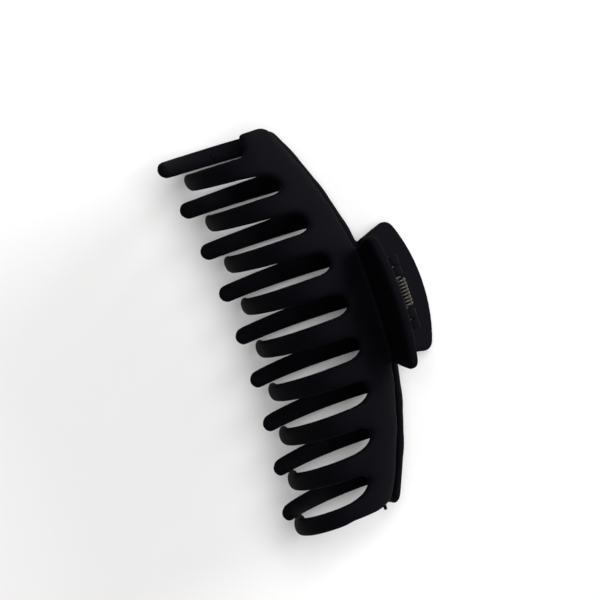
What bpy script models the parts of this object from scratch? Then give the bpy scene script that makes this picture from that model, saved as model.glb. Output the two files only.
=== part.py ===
"""Jumbo claw clip: two identical moulded jaws on a steel pin, closed by a torsion spring.

The clip lies on its side. X runs along the hinge, +Y points from the teeth to the
finger handles, and +Z points from the rear jaw (below) to the front jaw (above). The
origin is on the surface it lies on, under the middle of its outline. Inside the model
a place is given from the hinge: "depth" runs from the pin towards the tooth tips (-Y),
and "out" runs away from the middle plane (+Z on the front jaw). Lengths are in metres.
"""

import math

import bmesh
import bpy
from mathutils import Matrix, Vector

# ---- driving dimensions -------------------------------------------------------------

# teeth, counted along the hinge
TOOTH_COUNT = 9
TOOTH_PITCH = 0.0145
TOOTH_ROOT_WIDTH = 0.0074
TOOTH_TIP_WIDTH = 0.0052
TOOTH_FAN = 0.019             # the roots stand this share closer together than the tips
END_MARGIN = 0.0109           # body end beyond the middle of the first tooth
END_TRIM = 0.0012             # the last tooth's outer side is this much narrower at the root

# jaw shell, as depths from the pin to the middle of the wall, half way along the clip
WALL = 0.0032                 # thickness of the shell and the teeth
HALF_WIDTH = 0.0234           # middle plane to the outermost point of either jaw
SPINE_DEPTH = 0.0076          # back edge of the shell
SPINE_OUT = 0.0029
SLOT_DEPTH = 0.0134           # bottom of the slots between the teeth
TIP_DEPTH = 0.0508            # middle of the round tooth tips
TIP_CROSSING = 0.0102         # how far the tips reach past the middle plane
SPINE_BOW = 4.1               # depth gained along the length: bow * x * x
TIP_BOW = 1.6
BELLY_SHARE = 0.40            # place of the belly between back edge and tips
BACK_SWEEP = math.radians(65)
TOOTH_SWEEP = math.radians(78)
JAW_SKEW = math.radians(0.48)        # the loose lugs let each jaw sit this far off square
END_CORNER = 0.0030                  # rounding of the back edge at its tapering end
START_CORNER = 0.0009                # the same at the blunt end

# handle plates
HANDLE_ANGLE = math.radians(60)      # from the middle plane
HANDLE_THICKNESS = 0.0031
HANDLE_LENGTH = 0.0222
HANDLE_ROOT_HALF = 0.0193
HANDLE_RIM_HALF = 0.0219
HANDLE_SHIFT = 0.0010                # along the pin, from the middle of the jaw
HANDLE_RIM_RADIUS = 0.040
HANDLE_CORNER = 0.0045
HANDLE_FOOT_BACK = 0.0002            # from the shell's back edge to the plate's root
HANDLE_FOOT_UP = 0.0005
HANDLE_EDGE_ROUND = 0.0009

# hinge
PIN_RADIUS = 0.0011
PIN_CLEARANCE = 0.0003
LUG_RADIUS = 0.0032
LUG_WIDTH = 0.0033
LUG_GAP = 0.0004
SPRING_SPACE = 0.0107         # length between the inner lugs

# torsion spring
WIRE_RADIUS = 0.0005
COIL_RADIUS = 0.00275         # to the middle of the wire
COIL_TURNS = 8.0
LEG_GAP = 0.0003

EDGE_ROUND = 0.0009           # rounding of the shell's and the teeth's edges
PLASTIC = (0.0105, 0.0108, 0.0130, 1.0)
STEEL = (0.62, 0.60, 0.57, 1.0)

# ---- values that follow from them ---------------------------------------------------

FIRST_TOOTH = -TOOTH_PITCH * ((TOOTH_COUNT - 1) / 2 - 0.25)
LAST_TOOTH = FIRST_TOOTH + TOOTH_PITCH * (TOOTH_COUNT - 1)
BODY_START = FIRST_TOOTH - END_MARGIN
BODY_END = LAST_TOOTH + TOOTH_ROOT_WIDTH / 2 - END_TRIM
BELLY_OUT = HALF_WIDTH - WALL / 2
BACK_RISE = (BELLY_OUT - SPINE_OUT) / (1 - math.cos(BACK_SWEEP))
TOOTH_DROP = (BELLY_OUT + TIP_CROSSING) / (1 - math.cos(TOOTH_SWEEP))
TIP_RADIUS = TOOTH_TIP_WIDTH / 2
HANDLE_RIM_DEPTH = SPINE_DEPTH - HANDLE_FOOT_BACK - HANDLE_LENGTH * math.cos(HANDLE_ANGLE)
HANDLE_RIM_OUT = SPINE_OUT + HANDLE_FOOT_UP + HANDLE_LENGTH * math.sin(HANDLE_ANGLE)
INNER_LUG = SPRING_SPACE / 2 + LUG_WIDTH / 2
OUTER_LUG = INNER_LUG + LUG_WIDTH + LUG_GAP
PIN_LENGTH = 2 * OUTER_LUG + LUG_WIDTH


def spine_depth(x):
    """Depth of the shell's back edge at x along the hinge."""
    return SPINE_DEPTH + SPINE_BOW * x * x


def tip_depth(x):
    """Depth of the middle of a tooth tip at x along the hinge."""
    return TIP_DEPTH + TIP_BOW * x * x


def fanned(x, share):
    """Place along the hinge, for a share of the way from the teeth's roots to the tips."""
    return x * (1 - TOOTH_FAN * (1 - share))


def skewed(x, y, z):
    """Turn a place on the jaw by its skew, about the normal of the middle plane."""
    return Matrix.Rotation(-JAW_SKEW, 3, "Z") @ Vector((x, y, z))


def shell_point(x, sweep):
    """Point of the shell's middle surface, which is two quarter-ellipses in section.

    sweep is the angle from the belly: negative to the back edge, positive to the tips.
    """
    back = spine_depth(x)
    tip = tip_depth(x)
    belly = back + BELLY_SHARE * (tip - back)
    if sweep < 0:
        depth = belly + (belly - back) / math.sin(BACK_SWEEP) * math.sin(sweep)
        out = BELLY_OUT - BACK_RISE * (1 - math.cos(sweep))
    else:
        depth = belly + (tip - belly) / math.sin(TOOTH_SWEEP) * math.sin(sweep)
        out = BELLY_OUT - TOOTH_DROP * (1 - math.cos(sweep))
    return skewed(x, -depth, out)


def sweep_at_depth(x, depth_from_spine):
    """Sweep angle of the shell at a depth behind its back edge."""
    run = BELLY_SHARE * (tip_depth(x) - spine_depth(x))
    share = (run - depth_from_spine) / run * math.sin(BACK_SWEEP)
    return -math.asin(share)


# ---- scene helpers ------------------------------------------------------------------


def clear_scene():
    """Remove what a new file holds."""
    for item in list(bpy.data.objects):
        bpy.data.objects.remove(item, do_unlink=True)


def new_collection(name):
    """Make a collection linked to the scene."""
    collection = bpy.data.collections.new(name)
    bpy.context.scene.collection.children.link(collection)
    return collection


def new_material(name, color, roughness, metallic):
    """Make a Principled BSDF material."""
    material = bpy.data.materials.new(name)
    material.use_nodes = True
    shader = material.node_tree.nodes["Principled BSDF"]
    shader.inputs["Base Color"].default_value = color
    shader.inputs["Roughness"].default_value = roughness
    shader.inputs["Metallic"].default_value = metallic
    return material


def mesh_object(name, mesh, collection):
    """Link a mesh as an object."""
    item = bpy.data.objects.new(name, mesh)
    collection.objects.link(item)
    return item


def mesh_from_bmesh(name, shape):
    """Turn a bmesh into a mesh with outward faces and free the bmesh."""
    bmesh.ops.recalc_face_normals(shape, faces=shape.faces)
    mesh = bpy.data.meshes.new(name)
    shape.to_mesh(mesh)
    shape.free()
    return mesh


def hide_as_cutter(item):
    """Mark an object as a tool that is left out of the model."""
    item.hide_render = True
    item.display_type = "WIRE"


def add_boolean(item, other, operation):
    """Join or cut item with another object."""
    modifier = item.modifiers.new(other.name, "BOOLEAN")
    modifier.operation = operation
    modifier.solver = "EXACT"
    modifier.object = other
    hide_as_cutter(other)


def add_bevel(item, width, segments):
    """Round the sharp edges of an object."""
    modifier = item.modifiers.new("rounded_edges", "BEVEL")
    modifier.width = width
    modifier.segments = segments
    modifier.limit_method = "ANGLE"
    modifier.angle_limit = math.radians(50)
    modifier.use_clamp_overlap = True


def shade_round(mesh):
    """Shade smooth, with the sharp edges kept."""
    mesh.shade_smooth()
    mesh.set_sharp_from_angle(angle=math.radians(40))


# ---- jaw: comb-shaped shell ---------------------------------------------------------

BAND_ROWS = 2                 # rows of faces between the back edge and the slots
TOOTH_SWEEPS = [math.radians(angle) for angle in (-14, 0, 16, 32, 47, 61, 70)]


def tooth_half_width(share):
    """Half of a tooth's width, at a share of its way from root to tip."""
    return (TOOTH_ROOT_WIDTH + (TOOTH_TIP_WIDTH - TOOTH_ROOT_WIDTH) * share) / 2


def slot_columns():
    """List (x, slot bottom drop) for the columns of the band, and each tooth's columns.

    The drop is how far towards the tips the band's edge lies at that column, as a
    share of a slot's half width: 0 at the bottom of a slot, 1 beside a tooth.
    """
    half_tooth = TOOTH_ROOT_WIDTH / 2
    half_slot = (TOOTH_PITCH - TOOTH_ROOT_WIDTH) / 2
    columns = [(BODY_START, -0.1), ((BODY_START + FIRST_TOOTH - half_tooth) / 2, 0.25)]
    teeth = []
    for number in range(TOOTH_COUNT):
        middle = FIRST_TOOTH + number * TOOTH_PITCH
        teeth.append(len(columns))
        end = min(middle + half_tooth, BODY_END)
        columns += [(middle - half_tooth, 1.0), (middle, 1.0), (end, 1.0)]
        if number < TOOTH_COUNT - 1:
            slot = middle + TOOTH_PITCH / 2
            for step in (-0.5, 0.0, 0.5):
                drop = 1 - math.sqrt(1 - step * step)
                columns.append((slot + step * half_slot, drop))
    return columns, teeth


def end_rounding(x):
    """How far the rounded corners at the ends take the back edge in, at x."""
    total = 0.0
    for inside, corner in ((x - BODY_START, START_CORNER), (BODY_END - x, END_CORNER)):
        short = max(corner - inside, 0.0)
        total += corner - math.sqrt(corner * corner - short * short)
    return total


def comb_mesh():
    """Middle surface of the comb: a band along the back with nine teeth on it."""
    shape = bmesh.new()
    half_slot = (TOOTH_PITCH - TOOTH_ROOT_WIDTH) / 2
    columns, teeth = slot_columns()
    band = []
    for x, drop in columns:
        edge_depth = SLOT_DEPTH - SPINE_DEPTH + drop * half_slot
        edge = sweep_at_depth(x, edge_depth)
        back = sweep_at_depth(x, end_rounding(x))
        line = []
        for row in range(BAND_ROWS + 1):
            sweep = back + (edge - back) * row / BAND_ROWS
            line.append(shape.verts.new(shell_point(fanned(x, 0), sweep)))
        band.append(line)
    for left, right in zip(band, band[1:]):
        for row in range(BAND_ROWS):
            shape.faces.new((left[row], right[row], right[row + 1], left[row + 1]))
    for number, first in enumerate(teeth):
        middle = FIRST_TOOTH + number * TOOTH_PITCH
        add_tooth(shape, middle, [line[BAND_ROWS] for line in band[first:first + 3]])
    return mesh_from_bmesh("comb", shape)


def add_tooth(shape, middle, root):
    """Add a tapering tooth, two faces wide, with a round tip."""
    rows = [root]
    half_tooth = TOOTH_ROOT_WIDTH / 2
    for sweep in TOOTH_SWEEPS + [TOOTH_SWEEP]:
        share = (math.sin(sweep) + 0.6) / (math.sin(TOOTH_SWEEP) + 0.6)
        half = tooth_half_width(max(share, 0.0))
        here = fanned(middle, share)
        trim = (middle + half_tooth > BODY_END) * END_TRIM * (1 - share)
        points = []
        for offset in (-half, 0, half - trim):
            points.append(shell_point(here + offset, sweep))
        rows.append([shape.verts.new(point) for point in points])
    tip = shell_point(middle, TOOTH_SWEEP)
    ahead = (tip - shell_point(middle, TOOTH_SWEEP - 0.05)).normalized()
    across = skewed(1, 0, 0)
    corner = TIP_RADIUS * math.sqrt(0.5)
    last = []
    for side, along in ((-corner, corner), (0, TIP_RADIUS), (corner, corner)):
        last.append(shape.verts.new(tip + across * side + ahead * along))
    rows.append(last)
    for near, far in zip(rows, rows[1:]):
        for column in (0, 1):
            corners = (near[column], near[column + 1], far[column + 1], far[column])
            shape.faces.new(corners)


# ---- jaw: handle and lugs -----------------------------------------------------------


def arc(center, radius, start, end, steps):
    """Points of a round stretch, in a plane."""
    points = []
    for step in range(steps + 1):
        angle = start + (end - start) * step / steps
        points.append((center[0] + radius * math.cos(angle),
                       center[1] + radius * math.sin(angle)))
    return points


def handle_outline():
    """Half-round plate in its own plane: x along the hinge, y from its root to its rim."""
    rim_center = HANDLE_LENGTH - HANDLE_RIM_RADIUS
    corner_x = HANDLE_RIM_HALF - HANDLE_CORNER
    reach = HANDLE_RIM_RADIUS - HANDLE_CORNER
    corner_y = rim_center + math.sqrt(reach * reach - corner_x * corner_x)
    meet = math.atan2(corner_y - rim_center, corner_x)
    right = [(HANDLE_ROOT_HALF, 0.0)]
    right += arc((corner_x, corner_y), HANDLE_CORNER, 0.0, meet, 3)
    rim = arc((0.0, rim_center), HANDLE_RIM_RADIUS, meet, math.pi - meet, 10)
    left = [(-x, y) for x, y in reversed(right)]
    return right + rim[1:-1] + left


def handle_mesh():
    """The plate, standing on the shell's back edge and leaning away from the teeth."""
    along = Vector((0, math.cos(HANDLE_ANGLE), math.sin(HANDLE_ANGLE)))
    normal = Vector((0, -math.sin(HANDLE_ANGLE), math.cos(HANDLE_ANGLE)))
    rim = Vector((0, -HANDLE_RIM_DEPTH, HANDLE_RIM_OUT))
    shape = bmesh.new()
    verts = []
    for x, y in handle_outline():
        place = rim + along * (y - HANDLE_LENGTH) - normal * HANDLE_THICKNESS / 2
        verts.append(shape.verts.new(skewed(x + HANDLE_SHIFT, place.y, place.z)))
    plate = shape.faces.new(verts)
    result = bmesh.ops.extrude_face_region(shape, geom=[plate])
    moved = [item for item in result["geom"] if isinstance(item, bmesh.types.BMVert)]
    bmesh.ops.translate(shape, verts=moved, vec=normal * HANDLE_THICKNESS)
    return mesh_from_bmesh("handle", shape)


def lug_mesh(middle):
    """A round lug about the pin with a web to the foot of the handle."""
    points = []
    for y, z in arc((0.0, 0.0), LUG_RADIUS, 0.0, 2 * math.pi, 16)[:-1]:
        points.append((y, z))
    foot = shell_point(middle, -BACK_SWEEP)
    points += [(foot.y, foot.z), (foot.y + WALL / 2, foot.z + WALL)]
    shape = bmesh.new()
    for side in (-1, 1):
        for y, z in points:
            shape.verts.new((middle + side * LUG_WIDTH / 2, y, z))
    hull = bmesh.ops.convex_hull(shape, input=shape.verts)
    bmesh.ops.delete(shape, geom=hull["geom_interior"], context="VERTS")
    bmesh.ops.dissolve_limit(shape, angle_limit=math.radians(1), verts=shape.verts,
                             edges=shape.edges)
    return mesh_from_bmesh("lug", shape)


def cylinder(name, radius, length, sides, collection):
    """A cylinder along X, centred on the hinge."""
    bpy.ops.mesh.primitive_cylinder_add(vertices=sides, radius=radius, depth=length)
    item = bpy.context.object
    item.name = name
    item.data.transform(Matrix.Rotation(math.pi / 2, 4, "Y"))
    for owner in list(item.users_collection):
        owner.objects.unlink(item)
    collection.objects.link(item)
    return item


def build_jaw_mesh(tools):
    """Join the shell, the handle and the lugs into one moulding and bore it."""
    comb = mesh_object("comb_tool", comb_mesh(), tools)
    solid = comb.modifiers.new("wall", "SOLIDIFY")
    solid.thickness = WALL
    solid.offset = 0.0
    solid.use_even_offset = True
    add_bevel(comb, EDGE_ROUND, 1)
    handle = mesh_object("handle_tool", handle_mesh(), tools)
    add_bevel(handle, HANDLE_EDGE_ROUND, 2)
    add_boolean(comb, handle, "UNION")
    for name, middle in (("inner", -INNER_LUG), ("outer", OUTER_LUG)):
        lug = mesh_object(name + "_lug_tool", lug_mesh(middle), tools)
        add_boolean(comb, lug, "UNION")
    bore_radius = PIN_RADIUS + PIN_CLEARANCE
    bore = cylinder("bore_tool", bore_radius, PIN_LENGTH * 2, 20, tools)
    add_boolean(comb, bore, "DIFFERENCE")
    bpy.context.view_layer.update()
    depsgraph = bpy.context.evaluated_depsgraph_get()
    mesh = bpy.data.meshes.new_from_object(comb.evaluated_get(depsgraph))
    comb.modifiers.clear()
    hide_as_cutter(comb)
    return mesh


# ---- hinge pin and spring -----------------------------------------------------------


def build_pin(parts, origin):
    """Steel pin through the four lugs and the coil."""
    pin = cylinder("hinge_pin", PIN_RADIUS, PIN_LENGTH, 20, parts)
    pin.location = origin
    add_bevel(pin, PIN_RADIUS / 5, 1)
    return pin


def leg_points(side):
    """Where the leg leaves the coil, and where it ends on its handle's inner face.

    side is +1 for the front handle and -1 for the rear one. Points are (y, z).
    """
    face_distance = handle_face_distance() - WIRE_RADIUS - LEG_GAP
    plate = Vector((math.cos(HANDLE_ANGLE), math.sin(HANDLE_ANGLE)))
    inward = Vector((math.sin(HANDLE_ANGLE), -math.cos(HANDLE_ANGLE)))
    reach = HANDLE_LENGTH * 0.42
    end = plate * reach - inward * face_distance
    spread = math.acos(COIL_RADIUS / end.length)
    heading = math.atan2(end.y, end.x) + spread
    start = Vector((math.cos(heading), math.sin(heading))) * COIL_RADIUS
    return (Vector((start.x, start.y * side)), Vector((end.x, end.y * side)))


def handle_face_distance():
    """Distance from the pin's middle to the plane of a handle's inner face."""
    across = Vector((-HANDLE_RIM_DEPTH, HANDLE_RIM_OUT))
    normal = Vector((-math.sin(HANDLE_ANGLE), math.cos(HANDLE_ANGLE)))
    return across.dot(normal) - HANDLE_THICKNESS / 2


def build_spring(parts, origin):
    """Close-wound coil with a leg to each handle."""
    start_rear, end_rear = leg_points(-1)
    start_front, end_front = leg_points(1)
    first = math.atan2(start_rear.y, start_rear.x)
    last = math.atan2(start_front.y, start_front.x)
    sweep = (last - first) % (2 * math.pi) + 2 * math.pi * (COIL_TURNS - 1)
    half = SPRING_SPACE / 2 - WIRE_RADIUS - LUG_GAP
    steps = int(round(sweep / (2 * math.pi) * 12))
    points = [Vector((-half, end_rear.x, end_rear.y))]
    for step in range(steps + 1):
        share = step / steps
        angle = first + sweep * share
        points.append(Vector((-half + 2 * half * share,
                              COIL_RADIUS * math.cos(angle),
                              COIL_RADIUS * math.sin(angle))))
    points.append(Vector((half, end_front.x, end_front.y)))
    curve = bpy.data.curves.new("torsion_spring", "CURVE")
    curve.dimensions = "3D"
    curve.bevel_depth = WIRE_RADIUS
    curve.bevel_resolution = 2
    curve.use_fill_caps = True
    spline = curve.splines.new("POLY")
    spline.points.add(len(points) - 1)
    for place, point in zip(spline.points, points):
        place.co = (point.x, point.y, point.z, 1.0)
    spring = bpy.data.objects.new("torsion_spring", curve)
    spring.location = origin
    parts.objects.link(spring)
    return spring


# ---- assembly -----------------------------------------------------------------------


def hinge_origin():
    """The middle of the pin, above the middle of the outline the clip covers."""
    rim = -HANDLE_RIM_DEPTH + HANDLE_THICKNESS / 2 * math.sin(HANDLE_ANGLE)
    last = LAST_TOOTH
    reach = tip_depth(last) + JAW_SKEW * last + WALL / 2
    reach += TIP_RADIUS * math.cos(TOOTH_SWEEP)
    return Vector((0, (reach - rim) / 2, HALF_WIDTH))


def main():
    """Build the clip."""
    clear_scene()
    parts = new_collection("claw_clip")
    tools = new_collection("claw_clip_tools")
    plastic = new_material("matte_black_plastic", PLASTIC, 0.62, 0.0)
    pin_steel = new_material("pin_steel", STEEL, 0.30, 1.0)
    spring_steel = new_material("spring_steel", STEEL, 0.25, 1.0)
    origin = hinge_origin()
    jaw_mesh = build_jaw_mesh(tools)
    shade_round(jaw_mesh)
    for name, turn in (("front_jaw", 0.0), ("rear_jaw", math.pi)):
        jaw = mesh_object(name, jaw_mesh.copy(), parts)
        jaw.location = origin
        jaw.rotation_euler = (0.0, turn, 0.0)
        jaw.data.materials.clear()
        jaw.data.materials.append(plastic)
    pin = build_pin(parts, origin)
    pin.data.materials.append(pin_steel)
    spring = build_spring(parts, origin)
    spring.data.materials.append(spring_steel)


main()
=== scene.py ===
"""Looks of the jumbo claw clip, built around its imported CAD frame.

Both jaws are one moulding: a comb shell whose section is two quarter ellipses, a half-round
finger handle that flows out of its back edge, and two lugs on the hinge pin. The rear jaw is
the same moulding turned half a turn about +Y. Lengths are in metres.
"""

import dataclasses
import logging
import math
from dataclasses import dataclass, field
from enum import Enum
from typing import Any, Sequence, Union

import bmesh
import bpy
import numpy as np
from mathutils import Matrix, Vector


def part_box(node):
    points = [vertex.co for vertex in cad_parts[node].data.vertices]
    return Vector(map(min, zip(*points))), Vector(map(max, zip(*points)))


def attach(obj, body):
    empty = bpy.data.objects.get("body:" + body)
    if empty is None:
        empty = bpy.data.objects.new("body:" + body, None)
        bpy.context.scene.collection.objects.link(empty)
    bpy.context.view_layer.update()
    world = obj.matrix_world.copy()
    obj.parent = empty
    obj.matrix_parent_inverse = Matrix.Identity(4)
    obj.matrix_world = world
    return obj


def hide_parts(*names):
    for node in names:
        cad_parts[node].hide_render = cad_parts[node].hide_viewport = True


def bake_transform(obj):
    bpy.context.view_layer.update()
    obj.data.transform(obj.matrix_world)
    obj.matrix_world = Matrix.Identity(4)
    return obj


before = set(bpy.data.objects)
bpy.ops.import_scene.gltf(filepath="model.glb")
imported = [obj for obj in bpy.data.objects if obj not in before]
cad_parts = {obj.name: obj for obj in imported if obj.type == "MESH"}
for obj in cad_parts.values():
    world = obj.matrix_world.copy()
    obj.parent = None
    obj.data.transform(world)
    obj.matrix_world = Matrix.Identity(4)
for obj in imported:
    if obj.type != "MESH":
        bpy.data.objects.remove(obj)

LOG = logging.getLogger("claw_clip")

NEARLY = 0.01                   # slack when whole rows and columns are told apart
ROOT_SINE = 0.6                 # sine of the sweep before the belly where a tooth starts
SHARP_EDGE = math.radians(35)   # edges sharper than this are rounded


# ---- node trees -----------------------------------------------------------------------


class Quantity:
    """A number inside a node tree that takes part in ordinary sums."""

    def __init__(self, tree: bpy.types.NodeTree, socket: bpy.types.NodeSocket) -> None:
        """Wrap a socket of a tree."""
        self.tree = tree
        self.socket = socket

    def calc(self, operation: str, *others: "Number") -> "Quantity":
        """Add a Math node.

        Args:
            operation: the node's operation.
            others: the further numbers it takes.

        Returns:
            The node's result.
        """
        node = self.tree.nodes.new("ShaderNodeMath")
        node.operation = operation
        plug(self.tree, node.inputs[0], self)
        for place, other in enumerate(others, start=1):
            plug(self.tree, node.inputs[place], other)
        return Quantity(self.tree, node.outputs[0])

    def flipped(self, operation: str, first: "Number") -> "Quantity":
        """Add a Math node whose first number is a plain one."""
        node = self.tree.nodes.new("ShaderNodeMath")
        node.operation = operation
        plug(self.tree, node.inputs[0], first)
        plug(self.tree, node.inputs[1], self)
        return Quantity(self.tree, node.outputs[0])

    def __add__(self, other: "Number") -> "Quantity":
        """Sum."""
        return self.calc("ADD", other)

    __radd__ = __add__

    def __sub__(self, other: "Number") -> "Quantity":
        """Difference."""
        return self.calc("SUBTRACT", other)

    def __rsub__(self, other: "Number") -> "Quantity":
        """Difference from a plain number."""
        return self.flipped("SUBTRACT", other)

    def __mul__(self, other: "Number") -> "Quantity":
        """Product."""
        return self.calc("MULTIPLY", other)

    __rmul__ = __mul__

    def __truediv__(self, other: "Number") -> "Quantity":
        """Quotient."""
        return self.calc("DIVIDE", other)

    def __rtruediv__(self, other: "Number") -> "Quantity":
        """Quotient of a plain number."""
        return self.flipped("DIVIDE", other)

    def __neg__(self) -> "Quantity":
        """The same with its sign turned."""
        return self.calc("MULTIPLY", -1.0)


Number = Union[float, Quantity]


def plug(tree: bpy.types.NodeTree, target: bpy.types.NodeSocket, value: Any) -> None:
    """Link a quantity or socket into a node's input, or set a plain value on it."""
    if isinstance(value, Quantity):
        tree.links.new(value.socket, target)
    elif isinstance(value, bpy.types.NodeSocket):
        tree.links.new(value, target)
    else:
        target.default_value = value


def function(name: str, value: Number, *others: Number) -> Number:
    """Work out a function of a plain number or of a quantity in a tree.

    Args:
        name: SINE, COSINE, ARCSINE, SQRT, MINIMUM or MAXIMUM.
        value: what it is taken of.
        others: a second number, where it has one.

    Returns:
        The result, of the same sort as what went in.
    """
    sort = [item for item in (value, *others) if isinstance(item, Quantity)]
    if not sort:
        plain = {"SINE": math.sin, "COSINE": math.cos, "ARCSINE": math.asin,
                 "SQRT": math.sqrt, "MINIMUM": min, "MAXIMUM": max}
        return plain[name](value, *others)
    if isinstance(value, Quantity):
        return value.calc(name, *others)
    return others[0].calc(name, value)


def choose(test: Number, yes: Number, no: Number) -> Number:
    """Pick between two numbers by a test that is 1 or 0."""
    if not isinstance(test, Quantity):
        return yes if test > 0.5 else no
    return test * yes + (1.0 - test) * no


def below(value: Number, limit: float) -> Number:
    """1 where a number lies below a limit, else 0."""
    if isinstance(value, Quantity):
        return value.calc("LESS_THAN", limit)
    return float(value < limit)


def clamped(value: Number, top: float = 1.0) -> Number:
    """The number, kept between 0 and a top."""
    return function("MINIMUM", function("MAXIMUM", value, 0.0), top)


class ShapeTree:
    """A Geometry Nodes tree with named inputs, which is turned into a plain mesh."""

    def __init__(self, name: str) -> None:
        """Make an empty tree with a geometry output."""
        self.tree = bpy.data.node_groups.new(name, "GeometryNodeTree")
        self.tree.interface.new_socket(name="Shape", in_out="OUTPUT", socket_type="NodeSocketGeometry")
        self.way_in = self.tree.nodes.new("NodeGroupInput")
        self.way_out = self.tree.nodes.new("NodeGroupOutput")
        self.values: dict[str, Any] = {}

    def ask(self, label: str, value: Any, sort: str = "NodeSocketFloat") -> Quantity:
        """Add a named input.

        Args:
            label: the input's name.
            value: what it is set to.
            sort: the socket's type.

        Returns:
            The input as a quantity.
        """
        item = self.tree.interface.new_socket(name=label, in_out="INPUT", socket_type=sort)
        self.values[item.identifier] = value
        sockets = [socket for socket in self.way_in.outputs if socket.identifier == item.identifier]
        return Quantity(self.tree, sockets[0])

    def add(self, kind: str, settings: dict[str, Any] | None = None, **inputs: Any) -> bpy.types.Node:
        """Add a node, set its properties and plug its inputs, whose spaces are written as _."""
        node = self.tree.nodes.new(kind)
        for key, value in (settings or {}).items():
            setattr(node, key, value)
        for key, value in inputs.items():
            plug(self.tree, node.inputs[key.replace("_", " ")], value)
        return node

    def vector(self, x: Number, y: Number, z: Number) -> bpy.types.NodeSocket:
        """Join three numbers into a vector."""
        return self.add("ShaderNodeCombineXYZ", X=x, Y=y, Z=z).outputs[0]

    def scaled(self, direction: Any, length: Number) -> bpy.types.NodeSocket:
        """A vector times a number."""
        node = self.add("ShaderNodeVectorMath", {"operation": "SCALE"}, Scale=length)
        plug(self.tree, node.inputs[0], direction)
        return node.outputs[0]

    def keep(self, shape: Any, label: str, value: Any, sort: str = "FLOAT") -> bpy.types.NodeSocket:
        """Store a number, vector or turn on each point under a name."""
        node = self.add("GeometryNodeStoreNamedAttribute", {"data_type": sort, "domain": "POINT"},
                        Geometry=shape, Name=label)
        plug(self.tree, node.inputs["Value"], value)
        return node.outputs[0]

    def read(self, label: str) -> Quantity:
        """Read a stored number."""
        return Quantity(self.tree, self.stored(label, "FLOAT"))

    def stored(self, label: str, sort: str) -> bpy.types.NodeSocket:
        """Read what is stored under a name."""
        return self.add("GeometryNodeInputNamedAttribute", {"data_type": sort}, Name=label).outputs[0]

    def between(self, operation: str, *vectors: Any) -> bpy.types.NodeSocket:
        """Add a Vector Math node."""
        node = self.add("ShaderNodeVectorMath", {"operation": operation})
        for place, vector in enumerate(vectors):
            plug(self.tree, node.inputs[place], vector)
        return node.outputs[0]

    def finish(self, shape: Any, material: bpy.types.Material) -> None:
        """End the tree: smooth shading, real geometry and its finish."""
        finish = self.ask("Finish", material, "NodeSocketMaterial")
        smooth = self.add("GeometryNodeSetShadeSmooth", Geometry=shape)
        real = self.add("GeometryNodeRealizeInstances", Geometry=smooth.outputs[0])
        dressed = self.add("GeometryNodeSetMaterial", Geometry=real.outputs[0], Material=finish)
        self.tree.links.new(dressed.outputs[0], self.way_out.inputs[0])

    def mesh(self, name: str) -> bpy.types.Mesh:
        """Run the tree once on an empty object and keep what it makes."""
        carrier = new_object(name + "_blank", bpy.data.meshes.new(name + "_blank"))
        modifier = carrier.modifiers.new(name, "NODES")
        modifier.node_group = self.tree
        for identifier, value in self.values.items():
            modifier[identifier] = value
        made = settled_mesh(carrier, name)
        dropped(carrier)
        return made


# ---- small helpers --------------------------------------------------------------------


def new_object(name: str, mesh: bpy.types.Mesh) -> bpy.types.Object:
    """Link a mesh as an object at the origin."""
    item = bpy.data.objects.new(name, mesh)
    bpy.context.scene.collection.objects.link(item)
    return item


def settled_mesh(item: bpy.types.Object, name: str) -> bpy.types.Mesh:
    """Copy of an object's mesh with its modifiers worked in."""
    bpy.context.view_layer.update()
    depsgraph = bpy.context.evaluated_depsgraph_get()
    mesh = bpy.data.meshes.new_from_object(item.evaluated_get(depsgraph))
    mesh.name = name
    return mesh


def points_of(mesh: bpy.types.Mesh) -> np.ndarray:
    """The mesh's points as rows of x, y, z."""
    flat = np.empty(len(mesh.vertices) * 3)
    mesh.vertices.foreach_get("co", flat)
    return flat.reshape(-1, 3)


def put_points(mesh: bpy.types.Mesh, points: np.ndarray) -> None:
    """Move the mesh's points."""
    mesh.vertices.foreach_set("co", points.ravel())
    mesh.update()


def mesh_from(shape: bmesh.types.BMesh, name: str) -> bpy.types.Mesh:
    """Turn a finished bmesh into a mesh, and free it."""
    mesh = bpy.data.meshes.new(name)
    shape.to_mesh(mesh)
    shape.free()
    return mesh


def joined(meshes: Sequence[bpy.types.Mesh], name: str) -> bpy.types.Mesh:
    """One mesh that holds several."""
    shape = bmesh.new()
    for mesh in meshes:
        shape.from_mesh(mesh)
    return mesh_from(shape, name)


def dropped(*items: bpy.types.Object) -> None:
    """Take helper objects out of the file."""
    for item in items:
        bpy.data.objects.remove(item, do_unlink=True)


def rounded(mesh: bpy.types.Mesh, radius: float, segments: int) -> bpy.types.Mesh:
    """Copy of a mesh with its sharp edges rounded."""
    carrier = new_object(mesh.name + "_rounding", mesh)
    bevel = carrier.modifiers.new("rounding", "BEVEL")
    bevel.width = radius
    bevel.segments = segments
    bevel.limit_method = "ANGLE"
    bevel.angle_limit = SHARP_EDGE
    made = settled_mesh(carrier, mesh.name)
    dropped(carrier)
    return made


def extruded(outline: Sequence[Vector], direction: Vector, name: str) -> bpy.types.Mesh:
    """Solid between a flat outline and its copy moved by a vector."""
    shape = bmesh.new()
    plate = shape.faces.new([shape.verts.new(point) for point in outline])
    result = bmesh.ops.extrude_face_region(shape, geom=[plate], use_keep_orig=True)
    moved = [item for item in result["geom"] if isinstance(item, bmesh.types.BMVert)]
    bmesh.ops.translate(shape, verts=moved, vec=direction)
    bmesh.ops.recalc_face_normals(shape, faces=shape.faces)
    return mesh_from(shape, name)


# ---- finishes -------------------------------------------------------------------------


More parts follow.
